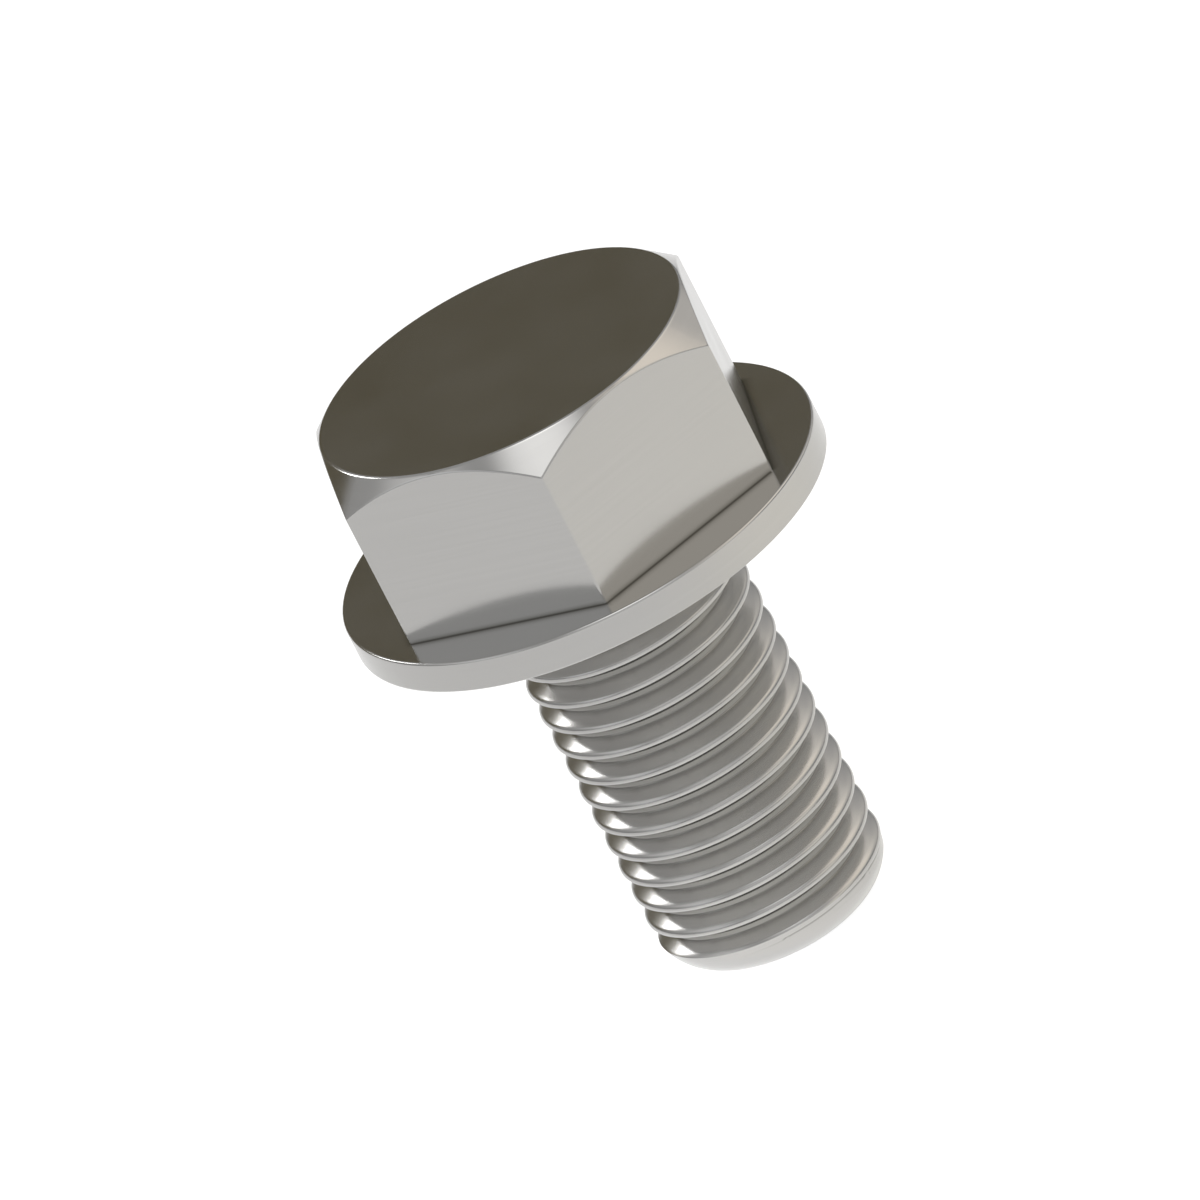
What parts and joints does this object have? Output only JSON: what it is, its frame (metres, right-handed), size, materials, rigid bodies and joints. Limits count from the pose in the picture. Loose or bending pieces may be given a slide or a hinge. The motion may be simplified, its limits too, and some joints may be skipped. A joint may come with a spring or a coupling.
{
  "type": "hexagon flange bolt",
  "caption": "Hexagon head bolt with a flat round flange and a right-hand thread that runs almost up to the flange, ending in a flat coned tip.",
  "frame": {"origin": "centre of the flange's bearing face, on the thread's axis", "axes": "+Z along the thread's axis from the tip towards the head; flats of the hexagon face +X and -X"},
  "size_m": [0.0246, 0.0246, 0.0324],
  "materials": {
    "stainless_steel": "polished stainless steel with faint brushing on the flats"
  },
  "bodies": {
    "root": {"flange_bolt": "stainless_steel"}
  },
  "joints": []
}
